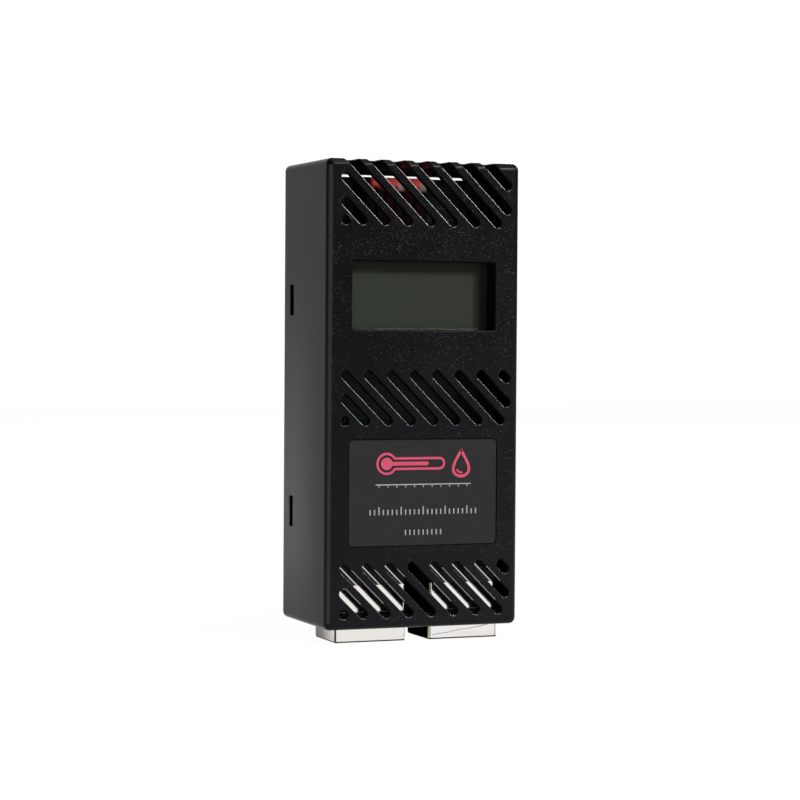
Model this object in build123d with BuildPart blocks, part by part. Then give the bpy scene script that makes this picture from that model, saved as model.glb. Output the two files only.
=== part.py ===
# Temperature and humidity probe for an equipment rack, in millimetres.
#
# X runs to the right as the front is seen, Y runs from the front to the back, Z is up.
# The origin is the middle of the flat back face, so the front face lies at Y = -housing_depth.
# Depths are counted from the front face towards the back.

from build123d import *
import os

os.makedirs("parts", exist_ok=True)

# Housing
housing_width = 43.6
housing_height = 98.4
housing_depth = 27.2
wall = 1.6
corner_radius = 1.4
inner_corner_radius = 0.8

# Slanted vents: every slot falls from upper left to lower right at 45 degrees
vent_pitch = 5.12
vent_width = 1.95
vent_rim = 0.25
vent_shortest_run = 0.3
vent_dot_reach = 1.5
vent_left_margin = 4.05
vent_right_margin = 2.85
vent_wrap_depth = 6.0
top_vents_inset = 12.9
middle_vents_inset = 4.1
bottom_vents_inset = 3.9

# Heights down the front: vents, gap, window, gap, vents, gap, label, gap, vents, rise
top_vents_fall = 12.8
window_gap = 8.4
window_height = 14.4
middle_vents_gap = 9.4
middle_vents_fall = 9.68
label_gap = 3.82
label_height = 22.6
bottom_vents_gap = 4.37
bottom_vents_fall = 9.68
bottom_vents_rise = 3.25

# Display window and its moulded collar
window_side = 5.6
window_depth = 4.6
window_corner = 0.5
window_wall = 1.2
window_rim = 0.3

# Label and its shallow recess
label_side = 4.9
label_corner = 1.05
label_recess = 0.4
label_thickness = 0.25
label_clearance = 0.2

# Display cell: polariser, two glasses and a reflector
cell_gap = 0.05
polariser_thickness = 0.2
glass_thickness = 0.7
glass_side_reach = 1.8
front_glass_end_reach = 3.0
rear_glass_end_reach = 0.5
polariser_margin = 0.15
reflector_thickness = 0.25
reflector_side_margin = 0.8
strip_side_margin = 1.5
strip_clearance = 0.35

# Frame that holds the cell on its board
frame_side_wall = 1.35
frame_end_wall = 0.95
frame_lip = 0.65
frame_corner = 0.4
frame_clearance = 0.15

# Display board
display_board_side_reach = 0.3
display_board_depth = 8.4
display_board_thickness = 1.2
display_screw_inset = 2.5
display_boss_radius = 1.5
display_boss_gap = 0.1
display_screw_radius = 0.85
display_screw_length = 5.0
display_head_radius = 1.7
display_head_height = 1.1
screw_hole_clearance = 0.05
screw_hole_spare = 0.5

# Main board
board_side_gap = 0.5
board_top_gap = 1.4
board_bottom_gap = 0.4
board_depth = 15.6
board_thickness = 1.6
board_corner = 0.5
board_screw_inset = 2.8
board_screw_low_rise = 4.2
board_screw_high_rise = 23.2
board_boss_radius = 2.2
board_screw_radius = 1.1
board_screw_length = 8.0
board_head_radius = 2.2
board_head_height = 1.5
ledge_top_drop = 8.7
ledge_low_drop = 14.9
ledge_reach = 1.8
ledge_thickness = 1.5
hole_clearance = 0.15

# Modular jacks
jack_width = 15.9
jack_side_gap = 1.65
jack_middle_gap = 5.3
jack_front_depth = 3.2
jack_protrusion = 3.0
jack_length = 16.5
shield_sheet = 0.3
shield_length = 12.0
shield_fold = 0.45
shield_foot = 0.25
shield_rear_corner = 0.6
shield_seam = 0.2
jack_board_gap = 0.2
jack_cutout_clearance = 0.2
jack_fit = 0.05
port_width = 11.9
port_height = 7.0
port_length = 11.6
port_front_wall = 1.7
latch_width = 6.2
latch_height = 1.7
mouth_wall = 0.8
insert_wall = 0.7
shield_tab_width = 1.6
shield_tab_rise = 9.2
shield_tab_tail = 0.9
peg_radius = 1.5
peg_spacing = 11.4
peg_rise = 6.9
peg_length = 2.6
contact_count = 8
contact_pitch = 1.02
contact_radius = 0.2
contact_tail = 2.6
contact_inset = 0.1
contact_bend_rise = 1.4
contact_bend_depth = 0.8
contact_bend_radius = 0.35
contact_spring_depth = 2.2
contact_spring_rise = 7.0
tail_drop = 1.3
tail_row_gap = 2.54
insert_width = 9.3
insert_base = 0.5
insert_fin = 0.42
insert_tooth = 1.0
insert_back_gap = 0.3
floor_rib_height = 1.3
floor_rib_gap = 0.1

# Back cover
cover_thickness = 2.0
cover_side_clearance = 0.15
cover_top_gap = 0.6
snap_top_drop = 29.3
snap_low_rise = 23.6
snap_window_width = 2.5
snap_window_height = 6.6
snap_window_setback = 3.5
hook_clearance = 0.2
hook_thickness = 1.2
hook_reach = 1.1
hook_tip = 0.75
cover_post_size = 2.4
cover_post_gap = 0.1
cover_post_inset = 0.4
cover_rib_x = 10.0
cover_rib_width = 1.0
cover_rib_height = 1.4
cover_rib_end_gap = 4.0
keyhole_spacing = 56.0
keyhole_radius = 3.25
keyhole_slot_width = 3.6
keyhole_slot_length = 6.0

# Sensing parts near the vents
humidity_width = 15.0
humidity_height = 10.6
humidity_board_gap = 0.3
humidity_x = -3.0
humidity_top_gap = 1.5
humidity_chamfer = 0.8
humidity_lead_inset = 2.5
humidity_slot_pitch = 2.2
humidity_slot_count = 5
humidity_slot_width = 0.9
humidity_slot_end_gap = 2.0
humidity_slot_depth = 1.0
lead_radius = 0.3
lead_tail = 2.4
bead_radius = 1.2
bead_inset = 4.1
bead_drop = 4.8
bead_depth = 7.2
bead_neck_radius = 0.5
bead_neck_length = 2.2
bead_lead_radius = 0.2
bead_lead_side = 0.28
bead_lead_gap = 1.5
bead_lead_bend = 0.6

# Parts on the boards
header_count = 8
header_pitch = 2.54
header_pin = 0.64
header_pin_fit = 0.03
header_body = 2.5
header_strip_height = 1.6
header_gap = 0.2
header_drop = 12.8
header_pin_front = 0.5
header_pin_short = 1.0
socket_end_wall = 0.2
socket_floor = 0.6
socket_pin_gap = 0.1
leg_thickness = 0.3
package_standoff = 0.1
package_chamfer = 0.3

# Driver chip of the display
display_chip_size = 8.0
display_chip_height = 1.2
display_chip_rise = 1.0
display_chip_pitch = 0.8
display_chip_legs = 9
display_chip_leg = 0.35
display_chip_span = 9.8

# Microcontroller
micro_size = 10.0
micro_span = 12.0
micro_height = 1.5
micro_x = 0.5
micro_rise = 20.7
micro_pitch = 0.8
micro_legs = 11
micro_leg = 0.37

# Line drivers
driver_length = 5.0
driver_width = 4.0
driver_span = 6.0
driver_height = 1.6
driver_inset = 2.0
driver_rise = 3.8
driver_pitch = 1.27
driver_legs = 4
driver_leg = 0.42

# Crystal
crystal_length = 10.8
crystal_width = 4.6
crystal_height = 3.5
crystal_flange = 0.3
crystal_flange_height = 0.5
crystal_edge = 0.5

# Clamp diodes
diode_length = 4.3
diode_width = 2.6
diode_height = 2.1
diode_pitch = 3.6
diode_count = 3
diode_rise = 7.1

# Supply capacitors
capacitor_radius = 3.15
capacitor_height = 7.7
capacitor_edge = 0.4
capacitor_gap = 2.2
capacitor_rise = 10.8
capacitor_groove_rise = 1.4
capacitor_groove_depth = 0.25
capacitor_groove_width = 0.5

# Voltage regulator
regulator_width = 6.5
regulator_height = 5.6
regulator_thickness = 1.8
regulator_foot = 0.5
regulator_x = -8.0
regulator_rise = 1.2
regulator_tab_width = 5.4
regulator_tab_reach = 6.6
regulator_leg_width = 0.8
regulator_leg_reach = 5.0
regulator_leg_pitch = 2.3

# Chip capacitors and resistors
chip_length = 2.0
chip_width = 1.25
resistor_height = 0.7
capacitor_chip_height = 1.4
chip_side_pitch = 2.2
chip_row_pitch = 2.8
chip_columns = 2
chip_rows = 4
resistor_x = 5.0
resistor_pitch = 3.4
resistor_columns = 4
resistor_rows = 3

# Values worked out from those above
half_width = housing_width / 2
half_height = housing_height / 2
inner_width = housing_width - 2 * wall
inner_height = housing_height - 2 * wall
vent_left = vent_left_margin - half_width
vent_right = half_width - vent_right_margin
# The vent rows and the gaps stretch or shrink together to fill the housing's height
rows_height = (
    top_vents_fall
    + window_gap
    + middle_vents_gap
    + middle_vents_fall
    + label_gap
    + bottom_vents_gap
    + bottom_vents_fall
)
row_stretch = (
    housing_height - window_height - label_height - bottom_vents_rise
) / rows_height
top_vents_low = half_height - row_stretch * top_vents_fall
window_z = top_vents_low - row_stretch * window_gap - window_height / 2
middle_vents_high = window_z - window_height / 2 - row_stretch * middle_vents_gap
middle_vents_low = middle_vents_high - row_stretch * middle_vents_fall
label_z = middle_vents_low - row_stretch * label_gap - label_height / 2
bottom_vents_high = label_z - label_height / 2 - row_stretch * bottom_vents_gap
bottom_vents_low = bottom_vents_high - row_stretch * bottom_vents_fall
# The display's parts grow outwards from the window
window_width = housing_width - 2 * window_side
label_width = housing_width - 2 * label_side
glass_width = window_width + 2 * glass_side_reach
front_glass_height = window_height + 2 * front_glass_end_reach
rear_glass_height = window_height + 2 * rear_glass_end_reach
strip_height = front_glass_end_reach - rear_glass_end_reach - 2 * strip_clearance
frame_width = glass_width + 2 * (frame_clearance + frame_side_wall)
frame_height = front_glass_height + 2 * (frame_clearance + frame_end_wall)
display_board_width = frame_width + 2 * display_board_side_reach
display_screw_x = display_board_width / 2 - display_screw_inset
display_screw_rise = frame_height / 2 + display_boss_gap + display_boss_radius
display_board_height = 2 * (display_screw_rise + display_boss_radius)
display_board_low = window_z - display_board_height / 2
# The jacks share the width that they leave free, and the boards fill the inside
jack_stretch = (inner_width - 2 * jack_width) / (2 * jack_side_gap + jack_middle_gap)
jack_pitch = jack_width + jack_stretch * jack_middle_gap
board_width = inner_width - 2 * board_side_gap
board_height = inner_height - board_top_gap - board_bottom_gap
board_z = (board_bottom_gap - board_top_gap) / 2
board_screw_x = board_width / 2 - board_screw_inset
ledge_rows = (half_height - ledge_top_drop, display_board_low - ledge_low_drop)
snap_rows = (half_height - snap_top_drop, snap_low_rise - half_height)
bead_x = bead_inset - board_width / 2
bead_z = display_board_low - bead_drop
board_back_depth = board_depth + board_thickness
display_board_back = display_board_depth + display_board_thickness
glass_front_depth = window_depth + cell_gap + polariser_thickness
glass_back_depth = glass_front_depth + glass_thickness
cell_back_depth = glass_back_depth + glass_thickness
mouth_z = -half_height - jack_protrusion
jack_top_z = mouth_z + jack_length
jack_back_depth = board_depth - jack_board_gap
jack_height = jack_back_depth - jack_front_depth
board_screw_rows = (jack_top_z + board_screw_high_rise, jack_top_z + board_screw_low_rise)
cover_inner_depth = housing_depth - cover_thickness


def at_depth(depth):
    """Plane that faces the front, at a depth behind the front face; its y runs up."""
    return Plane.XZ.offset(housing_depth - depth)


def slant_slots(low, high, first_x):
    """Slots at 45 degrees between two heights, cut short where they reach the vent's sides.

    first_x is where the lower end of slot number 0 would lie. A slot that has no
    length left at the left side becomes a round hole, as in the real moulding.
    """
    first = -int((high - low) / vent_pitch) - 1
    last = int(housing_width / vent_pitch) + 1
    for number in range(first, last + 1):
        low_x = first_x + number * vent_pitch
        high_x = low_x - (high - low)
        start = max(high_x, vent_left)
        end = min(low_x, vent_right)
        start_z = low + (low_x - start)
        end_z = low + (low_x - end)
        run = (end - start) * 2**0.5
        if end_z > half_height - vent_width:
            continue
        if run > vent_shortest_run:
            with Locations(((start + end) / 2, (start_z + end_z) / 2)):
                SlotCenterToCenter(run, vent_width, rotation=-45)
        elif abs(low_x - vent_left) < vent_dot_reach:
            with Locations((vent_left, low)):
                Circle(vent_width / 2)


# Front cover: one deep moulding with the front, the four sides and all that holds the boards
with BuildPart() as front_cover:
    with BuildSketch(at_depth(0)):
        Rectangle(housing_width, housing_height)
    extrude(amount=-housing_depth)
    fillet(front_cover.edges().filter_by(Axis.Y), corner_radius)
    fillet(front_cover.faces().sort_by(Axis.Y)[0].edges(), corner_radius)
    with BuildSketch(at_depth(wall)):
        RectangleRounded(inner_width, inner_height, inner_corner_radius)
    extrude(amount=-(housing_depth - wall), mode=Mode.SUBTRACT)

    # Middle and bottom vents go through the front wall only
    with BuildSketch(at_depth(0)):
        slant_slots(
            middle_vents_low,
            middle_vents_high,
            middle_vents_inset - half_width + middle_vents_high - middle_vents_low,
        )
        slant_slots(
            bottom_vents_low,
            bottom_vents_high,
            bottom_vents_inset - half_width + bottom_vents_high - bottom_vents_low,
        )
    extrude(amount=-wall, mode=Mode.SUBTRACT)

    # Top vents run up over the rounded edge and a little way back across the top
    with BuildSketch(at_depth(0)):
        slant_slots(
            top_vents_low, half_height + 2 * vent_width, top_vents_inset - half_width
        )
    extrude(amount=-vent_wrap_depth, mode=Mode.SUBTRACT)

    # The rims of the slots are softened, as a moulding's are: on the front face these
    # are all edges but the level and upright ones of its outline
    front_face = front_cover.faces().sort_by(Axis.Y)[0]
    outline = front_face.edges().filter_by(Axis.X) + front_face.edges().filter_by(Axis.Z)
    fillet(front_face.edges() - outline, vent_rim)

    # Display window with the collar that reaches back to the glass
    with BuildSketch(at_depth(wall)):
        with Locations((0, window_z)):
            Rectangle(window_width + 2 * window_wall, window_height + 2 * window_wall)
    extrude(amount=-(window_depth - wall))
    with BuildSketch(at_depth(0)):
        with Locations((0, window_z)):
            RectangleRounded(window_width, window_height, window_corner)
    extrude(amount=-window_depth, mode=Mode.SUBTRACT)
    window_edges = (
        front_cover.faces()
        .sort_by(Axis.Y)[0]
        .inner_wires()
        .sort_by(SortBy.LENGTH)[-1]
        .edges()
    )
    fillet(window_edges, window_rim)

    # Shallow recess for the label
    with BuildSketch(at_depth(0)):
        with Locations((0, label_z)):
            RectangleRounded(label_width, label_height, label_corner)
    extrude(amount=-label_recess, mode=Mode.SUBTRACT)

    # Bosses for the display board's screws
    with BuildSketch(at_depth(wall)):
        with Locations((0, window_z)):
            with GridLocations(2 * display_screw_x, 2 * display_screw_rise, 2, 2):
                Circle(display_boss_radius)
    extrude(amount=-(display_board_depth - wall))
    with BuildSketch(at_depth(display_board_depth)):
        with Locations((0, window_z)):
            with GridLocations(2 * display_screw_x, 2 * display_screw_rise, 2, 2):
                Circle(display_screw_radius + screw_hole_clearance)
    display_hole_depth = display_screw_length - display_board_thickness + screw_hole_spare
    extrude(amount=display_hole_depth, mode=Mode.SUBTRACT)

    # Bosses for the main board's screws
    with BuildSketch(at_depth(wall)):
        for row in board_screw_rows:
            with Locations((-board_screw_x, row), (board_screw_x, row)):
                Circle(board_boss_radius)
    extrude(amount=-(board_depth - wall))
    with BuildSketch(at_depth(board_depth)):
        for row in board_screw_rows:
            with Locations((-board_screw_x, row), (board_screw_x, row)):
                Circle(board_screw_radius + screw_hole_clearance)
    extrude(amount=board_screw_length - board_thickness + screw_hole_spare, mode=Mode.SUBTRACT)

    # Ledges on the side walls carry the edges of the main board
    with BuildSketch(at_depth(wall)):
        for row in ledge_rows:
            for side in (-1, 1):
                with Locations((side * (inner_width - ledge_reach) / 2, row)):
                    Rectangle(ledge_reach, ledge_thickness)
    extrude(amount=-(board_depth - wall))

    # Low rib that stiffens the floor in front of the jacks
    rib_thickness = jack_front_depth - jack_cutout_clearance - wall - floor_rib_gap
    with BuildSketch(at_depth(wall)):
        with Locations((0, -inner_height / 2)):
            Rectangle(
                inner_width - 2 * inner_corner_radius,
                floor_rib_height,
                align=(Align.CENTER, Align.MIN),
            )
    extrude(amount=-rib_thickness)

    # The two jacks come out through the floor
    cutout_height = jack_height + 2 * jack_cutout_clearance
    cutout_y = jack_front_depth - jack_cutout_clearance + cutout_height / 2 - housing_depth
    with BuildSketch(Plane.XY.offset(-half_height)):
        with Locations((-jack_pitch / 2, cutout_y), (jack_pitch / 2, cutout_y)):
            RectangleRounded(
                jack_width + 2 * jack_cutout_clearance, cutout_height, shield_fold
            )
    extrude(amount=wall, mode=Mode.SUBTRACT)

    # Windows for the back cover's hooks
    window_y = -snap_window_setback - snap_window_width / 2
    with BuildSketch(Plane.YZ.offset(-half_width)):
        for row in snap_rows:
            with Locations((window_y, row)):
                Rectangle(snap_window_width, snap_window_height)
    extrude(amount=housing_width, mode=Mode.SUBTRACT)
front_cover.part.label = "front_cover"
export_step(front_cover.part, "parts/front_cover.step")

# Label: a thin printed sheet stuck into its recess
with BuildPart() as label:
    with BuildSketch(at_depth(label_recess)):
        with Locations((0, label_z)):
            RectangleRounded(
                label_width - 2 * label_clearance,
                label_height - 2 * label_clearance,
                label_corner - label_clearance,
            )
    extrude(amount=label_thickness)
label.part.label = "label"
export_step(label.part, "parts/label.step")

# Back cover: flat plate with hooks, posts that press the board home, ribs and keyholes
cover_width = inner_width - 2 * cover_side_clearance
cover_height = inner_height - cover_side_clearance - cover_top_gap
cover_z = (cover_side_clearance - cover_top_gap) / 2
hook_outer_x = inner_width / 2 - cover_side_clearance
with BuildPart() as back_cover:
    with BuildSketch(at_depth(cover_inner_depth)):
        with Locations((0, cover_z)):
            RectangleRounded(
                cover_width, cover_height, inner_corner_radius - cover_side_clearance
            )
    extrude(amount=-cover_thickness)
    with BuildSketch(at_depth(cover_inner_depth)):
        post_x = board_width / 2 - cover_post_inset - cover_post_size / 2
        for row in ledge_rows:
            with Locations((-post_x, row), (post_x, row)):
                Rectangle(cover_post_size, cover_post_size)
    extrude(amount=cover_inner_depth - board_back_depth - cover_post_gap)
    with BuildSketch(at_depth(cover_inner_depth)):
        with Locations((-cover_rib_x, cover_z), (cover_rib_x, cover_z)):
            Rectangle(cover_rib_width, cover_height - 2 * cover_rib_end_gap)
    extrude(amount=cover_rib_height)
    # Hook profile: a leg along the side wall with a slanted nose that snaps into its window
    nose_back = -snap_window_setback - hook_clearance
    nose_front = -snap_window_setback - snap_window_width + hook_clearance
    for row in snap_rows:
        for side in (-1, 1):
            with BuildSketch(Plane.XY.offset(row - snap_window_height / 2 + hook_clearance)):
                with BuildLine():
                    Polyline(
                        (side * (hook_outer_x - hook_thickness), -cover_thickness),
                        (side * (hook_outer_x - hook_thickness), nose_front - hook_tip),
                        (side * hook_outer_x, nose_front - hook_tip),
                        (side * hook_outer_x, nose_front),
                        (side * (hook_outer_x + hook_reach), nose_front + 2 * hook_tip),
                        (side * (hook_outer_x + hook_reach), nose_back),
                        (side * hook_outer_x, nose_back),
                        (side * hook_outer_x, -cover_thickness),
                        close=True,
                    )
                make_face()
            extrude(amount=snap_window_height - 2 * hook_clearance)
    # Keyholes: a screw's head goes in at the round hole and slides up into the slot
    with BuildSketch(at_depth(housing_depth)):
        with GridLocations(0, keyhole_spacing, 1, 2):
            Circle(keyhole_radius)
        with Locations(
            (0, keyhole_spacing / 2 + keyhole_slot_length / 2),
            (0, -keyhole_spacing / 2 + keyhole_slot_length / 2),
        ):
            SlotCenterToCenter(keyhole_slot_length, keyhole_slot_width, rotation=90)
    extrude(amount=cover_thickness + cover_rib_height, mode=Mode.SUBTRACT)
back_cover.part.label = "back_cover"
export_step(back_cover.part, "parts/back_cover.step")

# Polariser on the front of the display cell
with BuildPart() as lcd_polariser:
    with BuildSketch(at_depth(window_depth + cell_gap)):
        with Locations((0, window_z)):
            Rectangle(
                window_width + 2 * window_wall - 2 * polariser_margin,
                window_height + 2 * window_wall - 2 * polariser_margin,
            )
    extrude(amount=-polariser_thickness)
lcd_polariser.part.label = "lcd_polariser"
export_step(lcd_polariser.part, "parts/lcd_polariser.step")

# Front glass, taller than the rear one so that its two ledges carry the contacts
with BuildPart() as lcd_front_glass:
    with BuildSketch(at_depth(glass_front_depth)):
        with Locations((0, window_z)):
            Rectangle(glass_width, front_glass_height)
    extrude(amount=-glass_thickness)
lcd_front_glass.part.label = "lcd_front_glass"
export_step(lcd_front_glass.part, "parts/lcd_front_glass.step")

# Rear glass
with BuildPart() as lcd_rear_glass:
    with BuildSketch(at_depth(glass_back_depth)):
        with Locations((0, window_z)):
            Rectangle(glass_width, rear_glass_height)
    extrude(amount=-glass_thickness)
lcd_rear_glass.part.label = "lcd_rear_glass"
export_step(lcd_rear_glass.part, "parts/lcd_rear_glass.step")

# Reflector film on the back of the cell
with BuildPart() as lcd_reflector:
    with BuildSketch(at_depth(cell_back_depth)):
        with Locations((0, window_z)):
            Rectangle(glass_width - 2 * reflector_side_margin, window_height)
    extrude(amount=-reflector_thickness)
lcd_reflector.part.label = "lcd_reflector"
export_step(lcd_reflector.part, "parts/lcd_reflector.step")

# Rubber strips that carry the signals from the board to the two ledges of the front glass
strip_rise = (front_glass_height + rear_glass_height) / 4
with BuildPart() as lcd_rubber_strips:
    with BuildSketch(at_depth(glass_back_depth)):
        with Locations((0, window_z + strip_rise), (0, window_z - strip_rise)):
            Rectangle(glass_width - 2 * strip_side_margin, strip_height)
    extrude(amount=-(display_board_depth - glass_back_depth))
lcd_rubber_strips.part.label = "lcd_rubber_strips"
export_step(lcd_rubber_strips.part, "parts/lcd_rubber_strips.step")

# Frame round the cell, with a lip over the edge of the front glass
with BuildPart() as lcd_frame:
    with BuildSketch(at_depth(glass_front_depth - frame_lip)):
        with Locations((0, window_z)):
            Rectangle(frame_width, frame_height)
            Rectangle(
                window_width + 2 * window_wall + 2 * frame_clearance,
                window_height + 2 * window_wall + 2 * frame_clearance,
                mode=Mode.SUBTRACT,
            )
    extrude(amount=-(display_board_depth - glass_front_depth + frame_lip))
    with BuildSketch(at_depth(glass_front_depth)):
        with Locations((0, window_z)):
            Rectangle(
                glass_width + 2 * frame_clearance, front_glass_height + 2 * frame_clearance
            )
    extrude(amount=-(display_board_depth - glass_front_depth), mode=Mode.SUBTRACT)
    fillet(lcd_frame.edges().filter_by(Axis.Y).group_by(SortBy.LENGTH)[-1], frame_corner)
lcd_frame.part.label = "lcd_frame"
export_step(lcd_frame.part, "parts/lcd_frame.step")

# Display board
header_z = window_z - header_drop
with BuildPart() as display_board:
    with BuildSketch(at_depth(display_board_depth)):
        with Locations((0, window_z)):
            RectangleRounded(display_board_width, display_board_height, board_corner)
            with GridLocations(2 * display_screw_x, 2 * display_screw_rise, 2, 2):
                Circle(display_screw_radius + hole_clearance, mode=Mode.SUBTRACT)
        with Locations((0, header_z)):
            with GridLocations(header_pitch, 0, header_count, 1):
                Circle(header_pin * 0.5 * 2**0.5 + hole_clearance / 2, mode=Mode.SUBTRACT)
    extrude(amount=-display_board_thickness)
display_board.part.label = "display_board"
export_step(display_board.part, "parts/display_board.step")

# Screws that hold the display board, driven from behind
with BuildPart() as display_screws:
    with BuildSketch(at_depth(display_board_back)):
        with Locations((0, window_z)):
            with GridLocations(2 * display_screw_x, 2 * display_screw_rise, 2, 2):
                Circle(display_head_radius)
    extrude(amount=-display_head_height)
    fillet(display_screws.faces().sort_by(Axis.Y)[-4:].edges(), display_head_height / 2)
    with BuildSketch(at_depth(display_board_back)):
        with Locations((0, window_z)):
            with GridLocations(2 * display_screw_x, 2 * display_screw_rise, 2, 2):
                Circle(display_screw_radius)
    extrude(amount=display_screw_length)
    with BuildSketch(at_depth(display_board_back + display_head_height)):
        with Locations((0, window_z)):
            with GridLocations(2 * display_screw_x, 2 * display_screw_rise, 2, 2):
                Rectangle(display_head_radius, display_head_radius / 4)
                Rectangle(display_head_radius / 4, display_head_radius)
    extrude(amount=display_head_height / 2, mode=Mode.SUBTRACT)
display_screws.part.label = "display_screws"
export_step(display_screws.part, "parts/display_screws.step")

# Driver chip on the back of the display board
with BuildPart() as display_chip:
    with BuildSketch(at_depth(display_board_back)):
        with Locations((0, window_z + display_chip_rise)):
            Rectangle(display_chip_size, display_chip_size)
    extrude(amount=-display_chip_height)
    chamfer(display_chip.faces().sort_by(Axis.Y)[-1].edges(), package_chamfer)
    with BuildSketch(at_depth(display_board_back)):
        with Locations((0, window_z + display_chip_rise)):
            with GridLocations(0, display_chip_pitch, 1, display_chip_legs):
                Rectangle(display_chip_span, display_chip_leg)
            with GridLocations(display_chip_pitch, 0, display_chip_legs, 1):
                Rectangle(display_chip_leg, display_chip_span)
    extrude(amount=-leg_thickness)
display_chip.part.label = "display_chip"
export_step(display_chip.part, "parts/display_chip.step")

# Pin strip, pins and socket join the two boards
header_width = header_count * header_pitch
socket_height = board_depth - display_board_back - header_strip_height - header_gap
with BuildPart() as header_strip:
    with BuildSketch(at_depth(display_board_back)):
        with Locations((0, header_z)):
            Rectangle(header_width, header_body)
            with GridLocations(header_pitch, 0, header_count, 1):
                Rectangle(
                    header_pin + 2 * header_pin_fit,
                    header_pin + 2 * header_pin_fit,
                    mode=Mode.SUBTRACT,
                )
    extrude(amount=-header_strip_height)
header_strip.part.label = "header_strip"
export_step(header_strip.part, "parts/header_strip.step")

pin_start = display_board_depth - header_pin_front
pin_end = board_depth - header_pin_short
with BuildPart() as header_pins:
    with BuildSketch(at_depth(pin_start)):
        with Locations((0, header_z)):
            with GridLocations(header_pitch, 0, header_count, 1):
                Rectangle(header_pin, header_pin)
    extrude(amount=-(pin_end - pin_start))
header_pins.part.label = "header_pins"
export_step(header_pins.part, "parts/header_pins.step")

with BuildPart() as header_socket:
    with BuildSketch(at_depth(board_depth)):
        with Locations((0, header_z)):
            Rectangle(header_width + 2 * socket_end_wall, header_body)
    extrude(amount=socket_height)
    with BuildSketch(at_depth(board_depth - socket_height)):
        with Locations((0, header_z)):
            with GridLocations(header_pitch, 0, header_count, 1):
                Rectangle(header_pin + 2 * socket_pin_gap, header_pin + 2 * socket_pin_gap)
    extrude(amount=-(socket_height - socket_floor), mode=Mode.SUBTRACT)
header_socket.part.label = "header_socket"
export_step(header_socket.part, "parts/header_socket.step")

# Main board, drilled for its screws, the jacks' pegs, tabs and tails and the sensors' leads
peg_z = mouth_z + peg_rise
tab_z = mouth_z + shield_tab_rise
tail_z = (jack_top_z - tail_drop, jack_top_z - tail_drop - tail_row_gap)
humidity_z = inner_height / 2 - humidity_top_gap - humidity_height / 2
humidity_lead_gap = humidity_width - 2 * humidity_lead_inset


def contact_rows(centre):
    """Where the eight contacts lie, in two staggered rows of tails: x and the tail's height."""
    first = centre - (contact_count - 1) * contact_pitch / 2
    return [(first + n * contact_pitch, tail_z[n % 2]) for n in range(contact_count)]


with BuildPart() as main_board:
    with BuildSketch(at_depth(board_depth)):
        with Locations((0, board_z)):
            RectangleRounded(board_width, board_height, board_corner)
        for row in board_screw_rows:
            with Locations((-board_screw_x, row), (board_screw_x, row)):
                Circle(board_screw_radius + hole_clearance, mode=Mode.SUBTRACT)
        for centre in (-jack_pitch / 2, jack_pitch / 2):
            with Locations((centre, peg_z)):
                with GridLocations(peg_spacing, 0, 2, 1):
                    Circle(peg_radius + hole_clearance / 2, mode=Mode.SUBTRACT)
            with Locations((centre, tab_z)):
                with GridLocations(jack_width - shield_sheet, 0, 2, 1):
                    Rectangle(
                        shield_sheet + 2 * hole_clearance,
                        shield_tab_width + 2 * hole_clearance,
                        mode=Mode.SUBTRACT,
                    )
            with Locations(*contact_rows(centre)):
                Circle(contact_radius + hole_clearance, mode=Mode.SUBTRACT)
        with Locations((humidity_x, humidity_z)):
            with GridLocations(humidity_lead_gap, 0, 2, 1):
                Circle(lead_radius + hole_clearance, mode=Mode.SUBTRACT)
        with Locations((bead_x, bead_z)):
            with GridLocations(bead_lead_gap, 0, 2, 1):
                Circle(lead_radius + hole_clearance, mode=Mode.SUBTRACT)
    extrude(amount=-board_thickness)
main_board.part.label = "main_board"
export_step(main_board.part, "parts/main_board.step")

# Screws that hold the main board
with BuildPart() as board_screws:
    with BuildSketch(at_depth(board_back_depth)):
        for row in board_screw_rows:
            with Locations((-board_screw_x, row), (board_screw_x, row)):
                Circle(board_head_radius)
    extrude(amount=-board_head_height)
    fillet(board_screws.faces().sort_by(Axis.Y)[-4:].edges(), board_head_height / 2)
    with BuildSketch(at_depth(board_back_depth)):
        for row in board_screw_rows:
            with Locations((-board_screw_x, row), (board_screw_x, row)):
                Circle(board_screw_radius)
    extrude(amount=board_screw_length)
    with BuildSketch(at_depth(board_back_depth + board_head_height)):
        for row in board_screw_rows:
            with Locations((-board_screw_x, row), (board_screw_x, row)):
                Rectangle(board_head_radius, board_head_radius / 4)
                Rectangle(board_head_radius / 4, board_head_radius)
    extrude(amount=board_head_height / 2, mode=Mode.SUBTRACT)
board_screws.part.label = "board_screws"
export_step(board_screws.part, "parts/board_screws.step")

# Modular jacks: a folded steel shield, a moulded body, an insert with combs and eight wires
body_front_depth = jack_front_depth + shield_sheet + jack_fit
body_width = jack_width - 2 * shield_sheet - 2 * jack_fit
port_front_depth = body_front_depth + port_front_wall
port_back_depth = port_front_depth + port_height
port_top_z = mouth_z + shield_sheet + port_length
insert_front_depth = body_front_depth + insert_wall
wire_depth = port_front_depth - contact_inset


def y_at(depth):
    """Y of a depth behind the front face."""
    return depth - housing_depth


def box_sketch(x_size, front_depth, back_depth, centre):
    """Rectangle in a level sketch, given by its two depths."""
    with Locations((centre, y_at((front_depth + back_depth) / 2))):
        Rectangle(x_size, back_depth - front_depth)


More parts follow.
